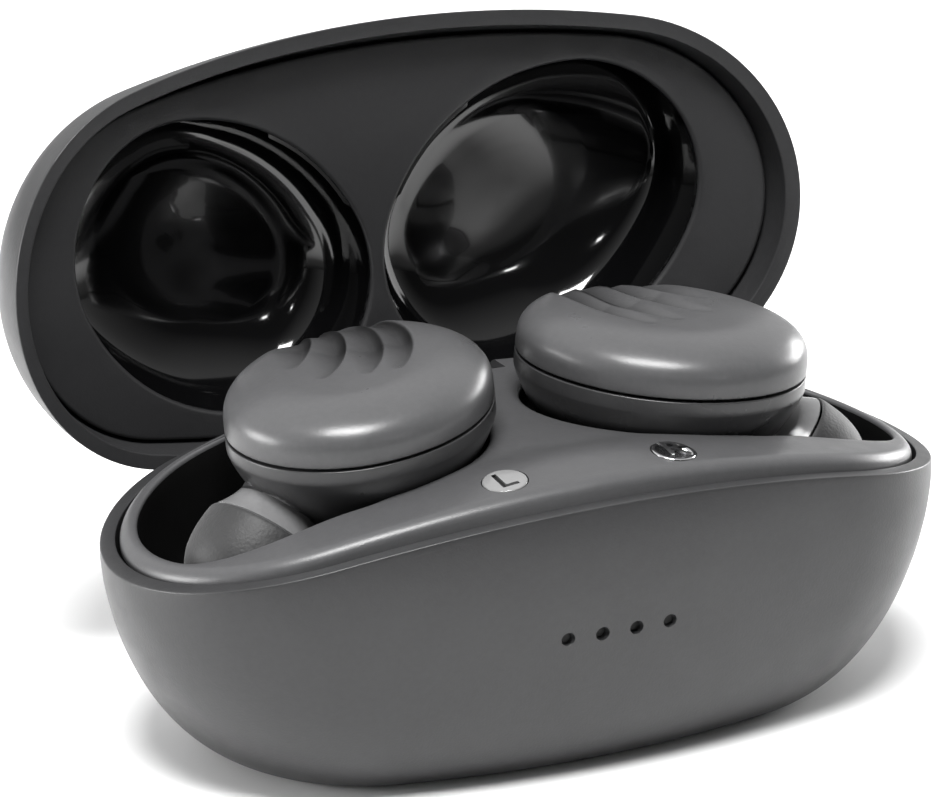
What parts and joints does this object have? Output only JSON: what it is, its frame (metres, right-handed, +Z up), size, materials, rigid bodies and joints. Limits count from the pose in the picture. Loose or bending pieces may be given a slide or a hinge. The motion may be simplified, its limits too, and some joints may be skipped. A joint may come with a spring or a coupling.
{
  "type": "wireless earbuds case",
  "caption": "Pebble-shaped charging case with a hinged lid open, holding a pair of in-ear wireless earbuds in fitted nests.",
  "frame": {"origin": "centre of the flat underside of the case", "axes": "+X along the case's length, +Y towards the hinge, +Z up"},
  "size_m": [0.08, 0.0628, 0.0566],
  "materials": {
    "shell_plastic": "fine matte moulded charcoal plastic",
    "tray_plastic": "satin moulded grey plastic",
    "liner_plastic": "satin dark grey plastic",
    "cup_gloss": "polished black plastic",
    "bud_plastic": "satin dark grey plastic",
    "tip_rubber": "soft matte silicone",
    "mark_plastic": "glossy light grey inlay",
    "mark_metal": "bright inlay",
    "steel": "plain steel",
    "magnet_steel": "nickel plated magnet",
    "gold_plate": "gold plated contact",
    "circuit_board": "green solder mask",
    "chip_plastic": "moulded black chip plastic",
    "battery_foil": "grey pouch foil",
    "foam_tape": "black adhesive foam",
    "lead_plastic": "insulated lead",
    "light_guide": "milky light guide plastic"
  },
  "bodies": {
    "base": {"base_shell": "shell_plastic", "battery_leads": "lead_plastic", "battery_pad": "foam_tape", "board_components": "chip_plastic", "board_screws": "steel", "bracket_screws": "steel", "case_battery": "battery_foil", "catch_magnet": "magnet_steel", "charging_pin_barrels": "gold_plate", "contact_board_left": "circuit_board", "contact_board_right": "circuit_board", "cradle": "tray_plastic", "hinge_bracket": "steel", "hinge_pin": "steel", "led_board": "circuit_board", "light_guide": "light_guide", "main_board": "circuit_board", "nest_magnet_left": "magnet_steel", "nest_magnet_right": "magnet_steel", "side_mark_left": "mark_plastic", "side_mark_right": "mark_metal", "status_leds": "light_guide", "usb_socket": "steel", "usb_tongue": "chip_plastic"},
    "lid": {"hinge_arm": "shell_plastic", "hinge_arm_screws": "steel", "lid_cup_left": "cup_gloss", "lid_cup_right": "cup_gloss", "lid_liner": "liner_plastic", "lid_magnet": "magnet_steel", "lid_shell": "shell_plastic"},
    "earbud_left": {"button_switch_left": "steel", "charging_contacts_left": "gold_plate", "ear_tip_left": "tip_rubber", "earbud_battery_left": "steel", "earbud_board_left": "circuit_board", "earbud_housing_left": "bud_plastic", "earbud_magnet_left": "magnet_steel", "nozzle_mesh_left": "steel", "speaker_driver_left": "steel"},
    "earbud_right": {"button_switch_right": "steel", "charging_contacts_right": "gold_plate", "ear_tip_right": "tip_rubber", "earbud_battery_right": "steel", "earbud_board_right": "circuit_board", "earbud_housing_right": "bud_plastic", "earbud_magnet_right": "magnet_steel", "nozzle_mesh_right": "steel", "speaker_driver_right": "steel"},
    "button_left": {"earbud_cap_left": "bud_plastic"},
    "button_right": {"earbud_cap_right": "bud_plastic"},
    "charging_pin_left_1": {"charging_pin_left_1": "gold_plate"},
    "charging_pin_left_2": {"charging_pin_left_2": "gold_plate"},
    "charging_pin_right_1": {"charging_pin_right_1": "gold_plate"},
    "charging_pin_right_2": {"charging_pin_right_2": "gold_plate"}
  },
  "joints": [
    {"name": "lid_hinge", "type": "hinge", "parent": "base", "child": "lid", "pos_m": [0, 0.0186, 0.01906], "axis": [-1, 0, 0], "range_deg": [-96.5, 0]},
    {"name": "earbud_left_lift", "type": "slide", "parent": "base", "child": "earbud_left", "axis": [0, 0, 1], "range_m": [0, 0.035]},
    {"name": "earbud_right_lift", "type": "slide", "parent": "base", "child": "earbud_right", "axis": [0, 0, 1], "range_m": [0, 0.035]},
    {"name": "button_left_press", "type": "slide", "parent": "earbud_left", "child": "button_left", "axis": [0.1478, 0, -0.989], "range_m": [0, 0.00025], "stiffness_N_per_m": 500},
    {"name": "button_right_press", "type": "slide", "parent": "earbud_right", "child": "button_right", "axis": [-0.1478, 0, -0.989], "range_m": [0, 0.00025], "stiffness_N_per_m": 500},
    {"name": "pin_left_1_travel", "type": "slide", "parent": "base", "child": "charging_pin_left_1", "axis": [0, 0, 1], "range_m": [-0.0004, 0], "stiffness_N_per_m": 100},
    {"name": "pin_left_2_travel", "type": "slide", "parent": "base", "child": "charging_pin_left_2", "axis": [0, 0, 1], "range_m": [-0.0004, 0], "stiffness_N_per_m": 100},
    {"name": "pin_right_1_travel", "type": "slide", "parent": "base", "child": "charging_pin_right_1", "axis": [0, 0, 1], "range_m": [-0.0004, 0], "stiffness_N_per_m": 100},
    {"name": "pin_right_2_travel", "type": "slide", "parent": "base", "child": "charging_pin_right_2", "axis": [0, 0, 1], "range_m": [-0.0004, 0], "stiffness_N_per_m": 100}
  ]
}
